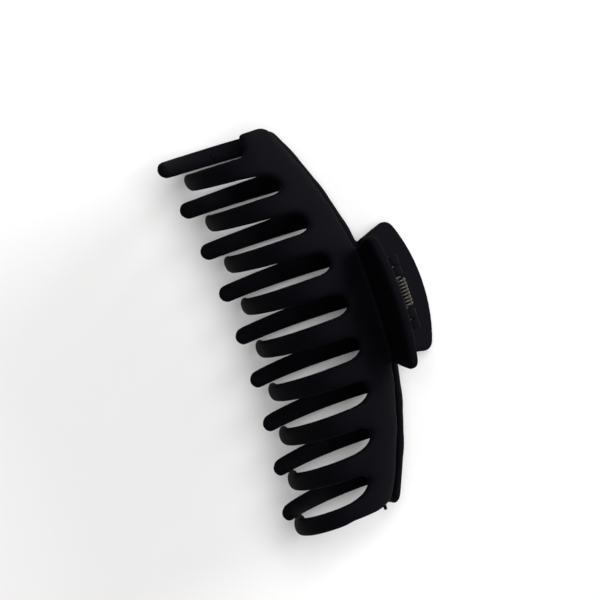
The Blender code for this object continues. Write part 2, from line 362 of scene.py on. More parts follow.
class Finish:
    """A material in the making: its Principled shader and the nodes that feed it."""

    def __init__(self, name: str) -> None:
        """Make a material with a plain Principled shader."""
        self.material = bpy.data.materials.new(name)
        self.material.use_nodes = True
        self.tree = self.material.node_tree
        self.shader = self.tree.nodes["Principled BSDF"]

    def node(self, kind: str, **inputs: Any) -> bpy.types.Node:
        """Add a node and plug its inputs, whose spaces are written as _."""
        node = self.tree.nodes.new(kind)
        for key, value in inputs.items():
            plug(self.tree, node.inputs[key.replace("_", " ")], value)
        return node

    def shade(self, **inputs: Any) -> None:
        """Set the shader's inputs, whose spaces are written as _."""
        for key, value in inputs.items():
            plug(self.tree, self.shader.inputs[key.replace("_", " ")], value)

    def bumped(self, height: bpy.types.NodeSocket, strength: float, depth: float) -> None:
        """Raise a fine relief on the surface."""
        bump = self.node("ShaderNodeBump", Strength=strength, Distance=depth, Height=height)
        self.shade(Normal=bump.outputs["Normal"])


@dataclass(frozen=True)
class SoftTouchPlastic:
    """Matte black moulded plastic with a rubbery soft-touch coat."""

    name: str = "soft_touch_black"
    deep: tuple[float, float, float, float] = (0.0016, 0.0015, 0.0024, 1.0)
    lifted: tuple[float, float, float, float] = (0.0024, 0.0021, 0.0036, 1.0)
    roughness: tuple[float, float] = (0.70, 0.80)
    grain: float = 3200.0
    handling: float = 90.0
    grain_strength: float = 0.35
    grain_depth: float = 0.00003
    gloss: float = 0.022

    def material(self) -> bpy.types.Material:
        """Make the material.

        Returns:
            A Principled BSDF whose colour and roughness vary faintly, with a fine grain.
        """
        finish = Finish(self.name)
        place = finish.node("ShaderNodeTexCoord").outputs["Object"]
        patches = finish.node("ShaderNodeTexNoise", Scale=self.handling, Detail=4.0, Vector=place)
        tint = finish.node("ShaderNodeMix")
        tint.data_type = "RGBA"
        plug(finish.tree, tint.inputs[0], patches.outputs["Fac"])
        colours = [socket for socket in tint.inputs if socket.type == "RGBA"]
        for socket, colour in zip(colours, (self.deep, self.lifted)):
            socket.default_value = colour
        tinted = [socket for socket in tint.outputs if socket.type == "RGBA"][0]
        dull = finish.node("ShaderNodeMapRange", Value=patches.outputs["Fac"], From_Min=0.3, From_Max=0.7,
                           To_Min=self.roughness[0], To_Max=self.roughness[1])
        grain = finish.node("ShaderNodeTexNoise", Scale=self.grain, Detail=2.0, Vector=place)
        finish.bumped(grain.outputs["Fac"], self.grain_strength, self.grain_depth)
        finish.shade(Base_Color=tinted, Roughness=dull.outputs["Result"], Specular_IOR_Level=self.gloss)
        return finish.material


@dataclass(frozen=True)
class DrawnSteel:
    """Steel painted dark grey as painted shade for the coil, which lies in shade between the handles, with
    fine lines along its length or round its turns.
    """

    name: str
    # Painted shade: far darker than bare steel, for the coil that lies in shade between the two handles.
    colour: tuple[float, float, float, float] = (0.030, 0.0275, 0.024, 1.0)
    roughness: tuple[float, float] = (0.34, 0.46)
    stretch: tuple[float, float, float] = (300.0, 9000.0, 9000.0)
    line_strength: float = 0.2
    line_depth: float = 0.00001

    def material(self) -> bpy.types.Material:
        """Make the material.

        Returns:
            A metal whose roughness follows the drawing lines.
        """
        finish = Finish(self.name)
        place = finish.node("ShaderNodeTexCoord").outputs["Object"]
        turn = finish.node("ShaderNodeMapping", Scale=self.stretch, Vector=place)
        lines = finish.node("ShaderNodeTexNoise", Scale=1.0, Detail=3.0, Vector=turn.outputs["Vector"])
        dull = finish.node("ShaderNodeMapRange", Value=lines.outputs["Fac"],
                           To_Min=self.roughness[0], To_Max=self.roughness[1])
        finish.bumped(lines.outputs["Fac"], self.line_strength, self.line_depth)
        finish.shade(Base_Color=self.colour, Metallic=1.0, Roughness=dull.outputs["Result"])
        return finish.material


@dataclass(frozen=True)
class PaleFloor:
    """Plain pale matte floor."""

    name: str = "pale_floor"
    colour: tuple[float, float, float, float] = (0.95, 0.94, 0.938, 1.0)
    roughness: float = 0.9
    gloss: float = 0.2

    def material(self) -> bpy.types.Material:
        """Make the material."""
        finish = Finish(self.name)
        finish.shade(Base_Color=self.colour, Roughness=self.roughness, Specular_IOR_Level=self.gloss)
        return finish.material


# ---- the jaw's form -------------------------------------------------------------------


@dataclass(frozen=True)
class ShellForm:
    """Middle surface of the shell and its teeth, measured from the hinge.

    Depth runs from the pin to the tips and out runs away from the middle plane. The
    section is two quarter ellipses, followed by sweep: negative to the back edge,
    positive to the tips. Every size may be a plain number or an input of a tree.
    """

    pitch: Number = 0.0145
    root_width: Number = 0.0074
    tip_width: Number = 0.0053
    fan: Number = 0.019
    end_margin: Number = 0.0109
    end_trim: Number = 0.0012
    wall: Number = 0.0032
    belly_out: Number = 0.0218
    spine_depth: Number = 0.0076
    spine_out: Number = 0.0029
    slot_depth: Number = 0.0134
    tip_depth: Number = 0.0508
    tip_crossing: Number = 0.0102
    spine_bow: Number = 4.1
    tip_bow: Number = 1.6
    belly_share: Number = 0.40
    back_sweep: Number = math.radians(65)
    tooth_sweep: Number = math.radians(78)
    skew: Number = math.radians(0.48)
    end_corner: Number = 0.0030

    def inputs_of(self, tree: ShapeTree) -> "ShellForm":
        """The same form with each size as a named input of a tree."""
        named = {}
        for item in dataclasses.fields(self):
            named[item.name] = tree.ask(item.name.replace("_", " ").capitalize(), getattr(self, item.name))
        return ShellForm(**named)

    def first_tooth(self, count: int) -> Number:
        """Middle of the first tooth, along the hinge."""
        return self.pitch * -((count - 1) / 2 - 0.25)

    def back_edge(self, x: Number) -> Number:
        """Depth of the back edge."""
        return self.spine_depth + self.spine_bow * x * x

    def tip_line(self, x: Number) -> Number:
        """Depth of the middle of the tips."""
        return self.tip_depth + self.tip_bow * x * x

    def fanned(self, x: Number, share: Number) -> Number:
        """Place along the hinge, as the teeth stand closer at their roots."""
        return x * (1.0 - self.fan * (1.0 - share))

    def share_at(self, sweep: Number) -> Number:
        """Share of the way from a tooth's root to its tip."""
        share = (function("SINE", sweep) + ROOT_SINE) / (function("SINE", self.tooth_sweep) + ROOT_SINE)
        return function("MAXIMUM", share, 0.0)

    def half_width(self, share: Number) -> Number:
        """Half of a tooth's width."""
        return (self.root_width + (self.tip_width - self.root_width) * share) / 2.0

    def sweep_at(self, x: Number, behind: Number) -> Number:
        """Sweep of the shell at a depth behind its back edge."""
        run = self.belly_share * (self.tip_line(x) - self.back_edge(x))
        share = (run - behind) / run * function("SINE", self.back_sweep)
        return -function("ARCSINE", share)

    def place(self, x: Number, sweep: Number, beyond: Number = 0.0) -> tuple[Number, Number, Number]:
        """Point of the middle surface.

        Args:
            x: along the hinge.
            sweep: round the section.
            beyond: how far past the end of the tooth sweep, straight on.

        Returns:
            The point from the hinge, as x, y and z.
        """
        back = self.back_edge(x)
        tip = self.tip_line(x)
        belly = back + self.belly_share * (tip - back)
        rise = (self.belly_out - self.spine_out) / (1.0 - function("COSINE", self.back_sweep))
        drop = (self.belly_out + self.tip_crossing) / (1.0 - function("COSINE", self.tooth_sweep))
        behind = below(sweep, 0.0)
        reach = choose(behind, (belly - back) / function("SINE", self.back_sweep),
                       (tip - belly) / function("SINE", self.tooth_sweep))
        fall = choose(behind, rise, drop)
        ahead = (tip - belly) / function("SINE", self.tooth_sweep) * function("COSINE", self.tooth_sweep)
        down = drop * function("SINE", self.tooth_sweep)
        length = function("SQRT", ahead * ahead + down * down)
        depth = belly + reach * function("SINE", sweep) + ahead / length * beyond
        out = self.belly_out - fall * (1.0 - function("COSINE", sweep)) - down / length * beyond
        cos = function("COSINE", self.skew)
        sin = function("SINE", self.skew)
        return (cos * x - sin * depth, -(sin * x) - cos * depth, out)

    def skewed(self, x: float, y: float, z: float) -> Vector:
        """Turn a place on the jaw by its skew on the pin."""
        return Matrix.Rotation(-self.skew, 3, "Z") @ Vector((x, y, z))


class JawSide(Enum):
    """Which jaw a moulding is, and the CAD body that it rides on."""

    FRONT = "front"
    REAR = "rear"

    @property
    def node(self) -> str:
        """The CAD node that the moulding stands for."""
        return self.value + "_jaw"

    def moved(self, points: np.ndarray, hinge: Vector) -> np.ndarray:
        """Points of the moulding, given from the hinge, put where this jaw is."""
        turn = np.array((1.0, 1.0, 1.0) if self is JawSide.FRONT else (-1.0, 1.0, -1.0))
        return points * turn + np.array(hinge)


@dataclass
class Comb:
    """The comb shell, as one tree: a flat grid of teeth and slots laid on the shell's form."""

    form: ShellForm = field(default_factory=ShellForm)
    teeth: int = 9
    margin_cells: int = 4
    band_rows: int = 5
    tooth_rows: int = 11
    cap_rows: int = 3
    outer_edge: float = 0.50
    inner_edge: float = 0.84
    tip_outer_edge: float = 0.36
    tip_inner_edge: float = 0.52
    tip_shoulder: float = 0.92
    tip_inner_crown: float = 1.22
    fullness: float = 1.055
    start_corner: float = 0.0009
    tip_lengthening: float = 0.05
    cap_turn: float = math.radians(82)
    columns_per_tooth: int = 10
    root_columns: int = 2
    ripe_from: float = 0.35
    ripe_over: float = 0.5
    margin_drop: float = 0.6
    margin_fall: float = 0.7
    levels: int = 2

    @property
    def first_column(self) -> int:
        """Column of the first tooth's middle."""
        return self.margin_cells + self.root_columns

    def mesh(self, material: bpy.types.Material) -> bpy.types.Mesh:
        """Build the tree and take the finished comb from it, placed from the hinge."""
        tree = ShapeTree("comb_shell")
        form = self.form.inputs_of(tree)
        columns = self.first_column + self.columns_per_tooth * (self.teeth - 1) + self.root_columns
        rows = self.band_rows + self.tooth_rows + self.cap_rows
        grid = tree.add("GeometryNodeMeshGrid", Size_X=float(columns), Size_Y=float(rows),
                        Vertices_X=columns + 1, Vertices_Y=rows + 1)
        where = tree.add("GeometryNodeInputPosition")
        parts = tree.add("ShaderNodeSeparateXYZ", Vector=where.outputs[0])
        column = Quantity(tree.tree, parts.outputs[0]) + columns / 2
        row = rows / 2 - Quantity(tree.tree, parts.outputs[1])
        number = ((column - self.first_column) / float(self.columns_per_tooth) + 0.5).calc("FLOOR")
        number = clamped(number, self.teeth - 1.0)
        phase = column - self.first_column - float(self.columns_per_tooth) * number
        away = phase.calc("ABSOLUTE")
        off_tooth = 1.0 - below(away, self.root_columns + NEARLY)
        past_band = 1.0 - below(row, self.band_rows + NEARLY)
        cut = tree.add("GeometryNodeDeleteGeometry", {"domain": "FACE"},
                       Geometry=grid.outputs["Mesh"], Selection=off_tooth * past_band)
        place = self.laid(tree, form, phase, number, row)
        ripe_row = self.band_rows + self.ripe_from * self.tooth_rows
        ripening = (row - ripe_row) / (self.ripe_over * self.tooth_rows)
        ripe = clamped(ripening)
        marked = tree.keep(cut.outputs[0], "tip", ripe)
        beside = below((away - 1.0).calc("ABSOLUTE"), 0.1) * past_band
        marked = tree.keep(marked, "shoulder", beside)
        sheet = tree.add("GeometryNodeSetPosition", Geometry=marked, Position=place)
        solid = self.walled(tree, form, sheet.outputs[0])
        fine = tree.add("GeometryNodeSubdivisionSurface", Mesh=solid, Level=self.levels)
        tree.finish(fine.outputs[0], material)
        return tree.mesh("comb")

    @staticmethod
    def corner_cut(inside: Quantity, corner: Number) -> Quantity:
        """How far a round corner takes the back edge in, so far inside an end."""
        short = function("MAXIMUM", corner - inside, 0.0)
        return corner - function("SQRT", function("MAXIMUM", corner * corner - short * short, 0.0))

    def laid(self, tree: ShapeTree, form: ShellForm, phase: Quantity, number: Quantity,
             row: Quantity) -> bpy.types.NodeSocket:
        """Lay the grid's corners on the form.

        Args:
            tree: the tree that is being built.
            form: the form, with its sizes as inputs.
            phase: columns from the middle of the nearest tooth.
            number: that tooth's number.
            row: rows from the back edge.

        Returns:
            The place of each corner.
        """
        side = phase.calc("SIGN")
        away = phase.calc("ABSOLUTE")
        half = form.root_width / 2.0
        gap = form.pitch / 2.0 - half
        middle = form.first_tooth(self.teeth) + form.pitch * number
        slot_columns = self.columns_per_tooth - 2 * self.root_columns
        turn = (away - float(self.root_columns)) * (math.pi / slot_columns)
        in_margin = below(phase, -self.root_columns - NEARLY) * below(number, 0.5)
        steps = (away - float(self.root_columns)) / float(self.margin_cells)
        slot_off = half + gap * (1.0 - function("COSINE", turn))
        margin_off = half + steps * (form.end_margin - half)
        off = choose(in_margin, margin_off, slot_off)
        on_tooth = below(away, self.root_columns + NEARLY)
        outer = below(-number, 0.5 - (self.teeth - 1.0)) * below(-phase, 0.0)
        tooth_off = away / float(self.root_columns) * (half - form.end_trim * outer)
        band_x = form.fanned(middle + side * choose(on_tooth, tooth_off, off), 0.0)
        margin_drop = self.margin_drop - self.margin_fall * steps
        drop = choose(on_tooth, 1.0, choose(in_margin, margin_drop, 1.0 - function("SINE", turn)))
        edge = form.sweep_at(band_x, form.slot_depth - form.spine_depth + drop * gap)
        start = form.first_tooth(self.teeth) - form.end_margin
        end = form.first_tooth(self.teeth) + form.pitch * (self.teeth - 1.0) + half - form.end_trim
        taken = self.corner_cut(band_x - form.fanned(start, 0.0), self.start_corner)
        taken = taken + self.corner_cut(form.fanned(end, 0.0) - band_x, form.end_corner)
        back = form.sweep_at(band_x, taken)
        in_band = below(row, self.band_rows + NEARLY)
        band_sweep = back + (edge - back) * (row / float(self.band_rows))
        step = function("MINIMUM", (row - float(self.band_rows)) / float(self.tooth_rows), 1.0)
        tooth_sweep = edge + (form.tooth_sweep - edge) * step
        sweep = choose(in_band, band_sweep, tooth_sweep)
        share = form.share_at(sweep)
        last_rows = row - float(self.band_rows + self.tooth_rows)
        cap = function("MAXIMUM", last_rows, 0.0) * (self.cap_turn / self.cap_rows)
        width = form.half_width(share) * function("COSINE", cap) * self.fullness
        trim = form.end_trim * outer * (1.0 - share)
        tooth_x = form.fanned(middle, share) + side * away / float(self.root_columns) * (width - trim)
        x = choose(in_band, band_x, tooth_x)
        beyond = form.tip_width / 2.0 * function("SINE", cap) * (self.fullness + self.tip_lengthening)
        return tree.vector(*form.place(x, sweep, beyond))

    def walled(self, tree: ShapeTree, form: ShellForm, sheet: bpy.types.NodeSocket) -> bpy.types.NodeSocket:
        """Give the sheet its wall, rounder on the outer side than on the inner side."""
        normal = tree.add("GeometryNodeInputNormal")
        kept = tree.keep(sheet, "outward", normal.outputs[0], "FLOAT_VECTOR")
        beside = tree.add("GeometryNodeInputMeshEdgeNeighbors")
        lone = Quantity(tree.tree, beside.outputs[0]).calc("LESS_THAN", 1.5)
        on_edge = tree.add("GeometryNodeFieldOnDomain", {"data_type": "BOOLEAN", "domain": "EDGE"})
        tree.tree.links.new(lone.socket, on_edge.inputs[0])
        flagged = tree.keep(kept, "edge", on_edge.outputs[0], "BOOLEAN")
        outward = tree.stored("outward", "FLOAT_VECTOR")
        rim = tree.read("edge")
        tip = tree.read("tip")
        shoulder = tree.read("shoulder")
        half = form.wall / 2.0
        outer_rim = self.outer_edge + (self.tip_outer_edge - self.outer_edge) * tip
        inner_rim = self.inner_edge + (self.tip_inner_edge - self.inner_edge) * tip
        easing = shoulder * tip * (1.0 - self.tip_shoulder)
        high = half * (1.0 - rim * (1.0 - outer_rim) - easing)
        crown = 1.0 + (self.tip_inner_crown - 1.0) * tip
        low = -half * (crown - rim * (crown - inner_rim) - easing)
        raised = tree.add("GeometryNodeExtrudeMesh", {"mode": "FACES"}, Mesh=flagged,
                          Offset_Scale=0.0, Individual=False)
        lift = Quantity(tree.tree, raised.outputs["Top"])
        top = tree.add("GeometryNodeSetPosition", Geometry=raised.outputs[0],
                       Offset=tree.scaled(outward, choose(lift, high, low)))
        turned = tree.add("GeometryNodeFlipFaces", Mesh=flagged)
        bottom = tree.add("GeometryNodeSetPosition", Geometry=turned.outputs[0],
                          Offset=tree.scaled(outward, low))
        both = tree.add("GeometryNodeJoinGeometry")
        tree.tree.links.new(top.outputs[0], both.inputs[0])
        tree.tree.links.new(bottom.outputs[0], both.inputs[0])
        welded = tree.add("GeometryNodeMergeByDistance", Geometry=both.outputs[0], Distance=0.00001)
        return welded.outputs[0]


# ---- the moulding ---------------------------------------------------------------------


@dataclass(frozen=True)
class HandlePlate:
    """Half-round finger plate that stands on the shell's back edge."""

    angle: float = math.radians(60)
    thickness: float = 0.0031
    length: float = 0.0222
    root_half: float = 0.0193
    rim_half: float = 0.0219
    shift: float = 0.0010
    rim_radius: float = 0.040
    corner: float = 0.0045
    rim_depth: float = -0.0037
    half_width: float = 0.0234
    edge_round: float = 0.0011

    @property
    def along(self) -> Vector:
        """Direction from the root to the rim."""
        return Vector((0, math.cos(self.angle), math.sin(self.angle)))

    @property
    def normal(self) -> Vector:
        """Direction that the outer face looks in."""
        return Vector((0, -math.sin(self.angle), math.cos(self.angle)))

    @property
    def rim(self) -> Vector:
        """Middle of the rim, from the hinge."""
        return Vector((0, -self.rim_depth, self.half_width - self.thickness / 2 * math.cos(self.angle)))

    def outline(self) -> list[tuple[float, float]]:
        """Plate's outline in its own plane: along the hinge, and up from the root."""
        rim_middle = self.length - self.rim_radius
        corner_x = self.rim_half - self.corner
        reach = self.rim_radius - self.corner
        corner_y = rim_middle + math.sqrt(reach * reach - corner_x * corner_x)
        meet = math.atan2(corner_y - rim_middle, corner_x)
        right = [(self.root_half, 0.0)]
        for step in range(13):
            angle = meet * step / 12
            right.append((corner_x + self.corner * math.cos(angle), corner_y + self.corner * math.sin(angle)))
        rim = []
        for step in range(1, 48):
            angle = meet + (math.pi - 2 * meet) * step / 48
            rim.append((self.rim_radius * math.cos(angle), rim_middle + self.rim_radius * math.sin(angle)))
        return right + rim + [(-x, y) for x, y in reversed(right)]

    def mesh(self, form: ShellForm) -> bpy.types.Mesh:
        """The plate with its edges rounded, from the hinge."""
        points = []
        for x, y in self.outline():
            place = self.rim + self.along * (y - self.length) - self.normal * self.thickness / 2
            points.append(form.skewed(x + self.shift, place.y, place.z))
        plate = extruded(points, self.normal * self.thickness, "handle")
        return rounded(plate, self.edge_round, 4)


@dataclass(frozen=True)
class Lug:
    """A lug round the pin, with a web to the foot of the handle."""

    middle: float
    radius: float = 0.0032
    width: float = 0.0033
    bore: float = 0.0014
    edge_round: float = 0.0006

    def mesh(self, form: ShellForm) -> bpy.types.Mesh:
        """The lug with its bore, from the hinge."""
        foot = Vector(form.place(self.middle, -form.back_sweep))
        flat = bmesh.new()
        for step in range(48):
            angle = 2 * math.pi * step / 48
            flat.verts.new((0, self.radius * math.cos(angle), self.radius * math.sin(angle)))
        flat.verts.new((0, foot.y, foot.z))
        flat.verts.new((0, foot.y + form.wall / 2, foot.z + form.wall))
        hull = bmesh.ops.convex_hull(flat, input=flat.verts)
        rim = [item for item in flat.verts if item.link_edges and item not in hull["geom_interior"]]
        centre = sum((item.co for item in rim), Vector()) / len(rim)
        rim.sort(key=lambda item: math.atan2(item.co.z - centre.z, item.co.y - centre.y))
        outline = [item.co + Vector((self.middle - self.width / 2, 0, 0)) for item in rim]
        flat.free()
        body = rounded(extruded(outline, Vector((self.width, 0, 0)), "lug"), self.edge_round, 3)
        return self.bored(body)

    def bored(self, body: bpy.types.Mesh) -> bpy.types.Mesh:
        """Cut the pin's bore."""
        shape = bmesh.new()
        turn = Matrix.Translation((self.middle, 0, 0)) @ Matrix.Rotation(math.pi / 2, 4, "Y")
        bmesh.ops.create_cone(shape, cap_ends=True, segments=40, radius1=self.bore, radius2=self.bore,
                              depth=self.width * 2, matrix=turn)
        drill = new_object("drill", mesh_from(shape, "drill"))
        carrier = new_object("lug", body)
        cut = carrier.modifiers.new("bore", "BOOLEAN")
        cut.operation = "DIFFERENCE"
        cut.solver = "EXACT"
        cut.object = drill
        made = settled_mesh(carrier, "lug")
        dropped(carrier, drill)
        return made


@dataclass
class Moulding:
    """One jaw as it leaves the mould: shell, handle and lugs in one skin."""

    comb: Comb = field(default_factory=Comb)
    handle: HandlePlate = field(default_factory=HandlePlate)
    inner_lug: float = 0.0070
    outer_lug: float = 0.0107
    voxel: float = 0.00042
    even_rounds: int = 6
    last_rounds: int = 2
    even_in: float = 0.50
    even_out: float = 0.52
    blend_rounds: int = 70
    blend_pull: float = 0.5
    blend_reach: float = 0.0030
    gate_radius: float = 0.0005
    gate_height: float = 0.0008
    gate_root: float = 0.0012
    gate_inset: float = 0.0004
    gate_sweep: float = math.radians(-56)
    gate_spread: float = 1.3
    valley_sweep: float = math.radians(-58)
    valley_step: tuple[float, float, float] = (0.0, 0.0002, 0.0021)

    def gate(self) -> bpy.types.Mesh:
        """The stub left where the plastic entered, at the long end of the back edge."""
        form = self.comb.form
        last = form.first_tooth(self.comb.teeth) + form.pitch * (self.comb.teeth - 1)
        end = form.fanned(last + form.root_width / 2 - form.end_trim, 0.0)
        foot = Vector(form.place(end - self.gate_inset, self.gate_sweep))
        shape = bmesh.new()
        turn = Matrix.Translation(foot + Vector((self.gate_height / 2, 0, 0)))
        bmesh.ops.create_cone(shape, cap_ends=True, segments=16, radius1=self.gate_radius * self.gate_spread,
                              radius2=self.gate_radius, depth=self.gate_height + self.gate_root,
                              matrix=turn @ Matrix.Rotation(math.pi / 2, 4, "Y"))
        return rounded(mesh_from(shape, "gate"), 0.00015, 2)

    def gate_piece(self, material: bpy.types.Material, hinge: Vector) -> bpy.types.Object:
        """Put the stub on the front jaw; on the rear jaw it was cut off flush."""
        mesh = self.gate()
        put_points(mesh, JawSide.FRONT.moved(points_of(mesh), hinge))
        mesh.materials.append(material)
        piece = new_object("front_gate_mark", mesh)
        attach(piece, "front")
        return piece

    def valley(self) -> np.ndarray:
        """Points along the corner between the shell's outer side and the handle."""
        form = self.comb.form
        line = []
        for step in range(81):
            x = self.handle.root_half * (step / 40 - 1) + self.handle.shift
            foot = Vector(form.place(x, self.valley_sweep))
            line.append(foot + form.skewed(*self.valley_step))
        return np.array(line)

    def softened(self, mesh: bpy.types.Mesh) -> None:
        """Even out the skin, and let the handle flow out of the shell with a wide blend."""
        points = points_of(mesh)
        ends = np.empty(len(mesh.edges) * 2, int)
        mesh.edges.foreach_get("vertices", ends)
        ends = ends.reshape(-1, 2)
        count = np.bincount(ends.ravel(), minlength=len(points))[:, None]

        def pull(places: np.ndarray) -> np.ndarray:
            """Step from each point to the middle of its neighbours."""
            total = np.zeros_like(places)
            for axis in range(3):
                total[:, axis] += np.bincount(ends[:, 0], places[ends[:, 1], axis], len(places))
                total[:, axis] += np.bincount(ends[:, 1], places[ends[:, 0], axis], len(places))
            return total / count - places

        def evened(places: np.ndarray, rounds: int) -> np.ndarray:
            """Smooth in and out again, so that the size is kept."""
            for _ in range(rounds):
                places = places + self.even_in * pull(places)
                places = places - self.even_out * pull(places)
            return places

        points = evened(points, self.even_rounds)
        line = self.valley()
        nearest = np.full(len(points), 1.0)
        for place in line:
            nearest = np.minimum(nearest, np.linalg.norm(points - place, axis=1))
        weight = np.exp(-(nearest / self.blend_reach) ** 2)[:, None]
        chosen = weight > 0.01
        for _ in range(self.blend_rounds):
            points = points + np.where(chosen, self.blend_pull * weight, 0.0) * pull(points)
        put_points(mesh, evened(points, self.last_rounds))

    def mesh(self, material: bpy.types.Material) -> bpy.types.Mesh:
        """Build the moulding, from the hinge."""
        form = self.comb.form
        solids = [self.comb.mesh(material), self.handle.mesh(form)]
        solids.append(Lug(-self.inner_lug).mesh(form))
        solids.append(Lug(self.outer_lug).mesh(form))
        carrier = new_object("moulding", joined(solids, "moulding"))
        skin = carrier.modifiers.new("one_skin", "REMESH")
        skin.mode = "VOXEL"
        skin.voxel_size = self.voxel
        mesh = settled_mesh(carrier, "moulding")
        dropped(carrier)
        self.softened(mesh)
        mesh.shade_smooth()
        mesh.materials.clear()
        mesh.materials.append(material)
        return mesh

    def jaw(self, mesh: bpy.types.Mesh, side: JawSide, hinge: Vector) -> bpy.types.Object:
        """Put a copy of the moulding where a jaw is, and let it stand for the CAD jaw."""
        copy = mesh.copy()
        put_points(copy, side.moved(points_of(copy), hinge))
        piece = new_object(side.value + "_jaw_moulding", copy)
        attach(piece, side.value)
        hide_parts(side.node)
        return piece


# ---- pin and spring -------------------------------------------------------------------


@dataclass(frozen=True)
class HingePin:
    """Drawn steel pin with chamfered ends."""

    radius: float = 0.0011
    length: float = 0.0247
    chamfer: float = 0.00025
    sides: int = 48

    def mesh(self) -> bpy.types.Mesh:
        """Turn the pin's profile about the hinge."""
        half = self.length / 2
        profile = [(-half, self.radius * 0.4), (-half, self.radius - self.chamfer),
                   (-half + self.chamfer, self.radius), (-half + 0.001, self.radius), (0.0, self.radius)]
        profile += [(-x, r) for x, r in reversed(profile[:-1])]
        shape = bmesh.new()
        rings = []
        for x, r in profile:
            ring = []
            for step in range(self.sides):
                angle = 2 * math.pi * step / self.sides
                ring.append(shape.verts.new((x, r * math.cos(angle), r * math.sin(angle))))
            rings.append(ring)
        for near, far in zip(rings, rings[1:]):
            for step in range(self.sides):
                after = (step + 1) % self.sides
                shape.faces.new((near[step], near[after], far[after], far[step]))
        shape.faces.new(rings[0])
        shape.faces.new(rings[-1])
        bmesh.ops.recalc_face_normals(shape, faces=shape.faces)
        mesh = mesh_from(shape, "pin")
        mesh.shade_smooth()
        mesh.set_sharp_from_angle(angle=math.radians(30))
        return mesh

    def piece(self, hinge: Vector) -> bpy.types.Object:
        """Put the pin on the hinge; it goes with the rear jaw."""
        mesh = self.mesh()
        put_points(mesh, points_of(mesh) + np.array(hinge))
        mesh.materials.append(DrawnSteel("pin_steel", roughness=(0.26, 0.40)).material())
        piece = new_object("pin", mesh)
        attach(piece, "rear")
        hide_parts("hinge_pin")
        return piece


@dataclass(frozen=True)
class TorsionSpring:
    """Close-wound wire coil round the pin, with a leg to each handle."""

    wire: float = 0.0005
    radius: float = 0.00275
    turns: float = 8.0
    space: float = 0.0107
    gap: float = 0.0003
    lug_gap: float = 0.0004
    leg_share: float = 0.42
    per_turn: int = 40

    def leg(self, handle: HandlePlate, side: int) -> tuple[Vector, Vector]:
        """Where a leg leaves the coil and where it ends, as (y, z) from the hinge."""
        across = Vector((handle.rim.y, handle.rim.z))
        normal = Vector((handle.normal.y, handle.normal.z))
        plate = Vector((handle.along.y, handle.along.z))
        clear = across.dot(normal) - handle.thickness / 2 - self.wire - self.gap
        end = plate * handle.length * self.leg_share + normal * clear
        spread = math.acos(self.radius / end.length)
        heading = math.atan2(end.y, end.x) + spread
        start = Vector((math.cos(heading), math.sin(heading))) * self.radius
        return Vector((start.x, start.y * side)), Vector((end.x, end.y * side))

    def mesh(self, handle: HandlePlate, material: bpy.types.Material) -> bpy.types.Mesh:
        """Follow the wire's path with a tree, from the hinge."""
        start_rear, end_rear = self.leg(handle, -1)
        start_front, end_front = self.leg(handle, 1)
        first = math.atan2(start_rear.y, start_rear.x)
        last = math.atan2(start_front.y, start_front.x)
        wound = (last - first) % (2 * math.pi) + 2 * math.pi * (self.turns - 1)
        steps = int(wound / (2 * math.pi) * self.per_turn)
        tree = ShapeTree("torsion_spring")
        wire = tree.ask("Wire radius", self.wire)
        radius = tree.ask("Coil radius", self.radius)
        half = tree.ask("Half length", self.space / 2 - self.wire - self.lug_gap)
        first_in = tree.ask("First angle", first)
        wound_in = tree.ask("Wound angle", wound)
        line = tree.add("GeometryNodeCurvePrimitiveLine")
        finer = tree.add("GeometryNodeResampleCurve", Curve=line.outputs[0], Count=steps + 3)
        index = Quantity(tree.tree, tree.add("GeometryNodeInputIndex").outputs[0])
        share = clamped((index - 1.0) / float(steps))
        angle = first_in + wound_in * share
        is_first = below(index, 0.5)
        is_last = 1.0 - below(index, steps + 1.5)
        y = radius * function("COSINE", angle)
        z = radius * function("SINE", angle)
        y = choose(is_first, end_rear.x, choose(is_last, end_front.x, y))
        z = choose(is_first, end_rear.y, choose(is_last, end_front.y, z))
        place = tree.vector(half * (share * 2.0 - 1.0), y, z)
        path = tree.add("GeometryNodeSetPosition", Geometry=finer.outputs[0], Position=place)
        section = tree.add("GeometryNodeCurvePrimitiveCircle", Resolution=14, Radius=wire)
        tube = tree.add("GeometryNodeCurveToMesh", Curve=path.outputs[0],
                        Profile_Curve=section.outputs[0], Fill_Caps=True)
        tree.finish(tube.outputs[0], material)
        return tree.mesh("torsion_spring_wire")

    def piece(self, handle: HandlePlate, hinge: Vector) -> bpy.types.Object:
        """Put the spring on the hinge in place of the CAD spring."""
        mesh = self.mesh(handle, DrawnSteel("spring_steel").material())
        put_points(mesh, points_of(mesh) + np.array(hinge))
        mesh.set_sharp_from_angle(angle=math.radians(50))
        piece = new_object("torsion_spring_wire", mesh)
        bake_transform(piece)
        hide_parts("torsion_spring")
        return piece


# ---- marks of the mould ---------------------------------------------------------------


